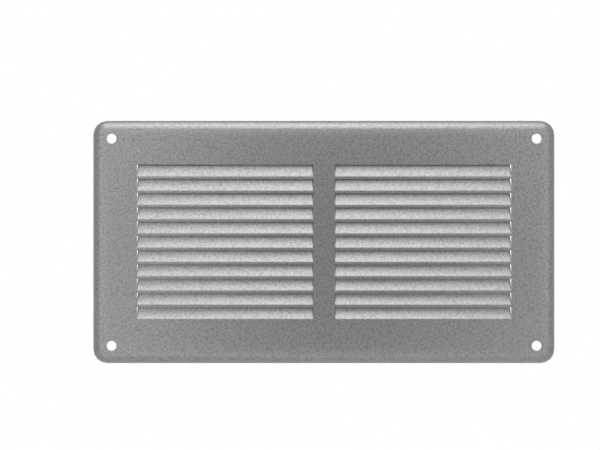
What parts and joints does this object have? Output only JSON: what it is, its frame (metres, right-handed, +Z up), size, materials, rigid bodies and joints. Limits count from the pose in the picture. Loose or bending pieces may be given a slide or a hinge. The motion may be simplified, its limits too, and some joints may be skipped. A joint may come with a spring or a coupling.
{
  "type": "louvred vent grille",
  "caption": "Rectangular pressed-steel vent grille: rounded corners, turned-back rim, side-by-side banks of inward louvres about a plain bar, corner screw holes, grey hammered paint.",
  "frame": {"origin": "centre of the corner hole pattern, on the front face", "axes": "+Z up, +X to the right of someone facing the grille, +Y from the front into the wall"},
  "size_m": [0.304, 0.008, 0.16],
  "materials": {
    "hammered_paint": "semi-gloss grey hammered metallic paint"
  },
  "bodies": {
    "root": {"grille_plate": "hammered_paint"}
  },
  "joints": []
}
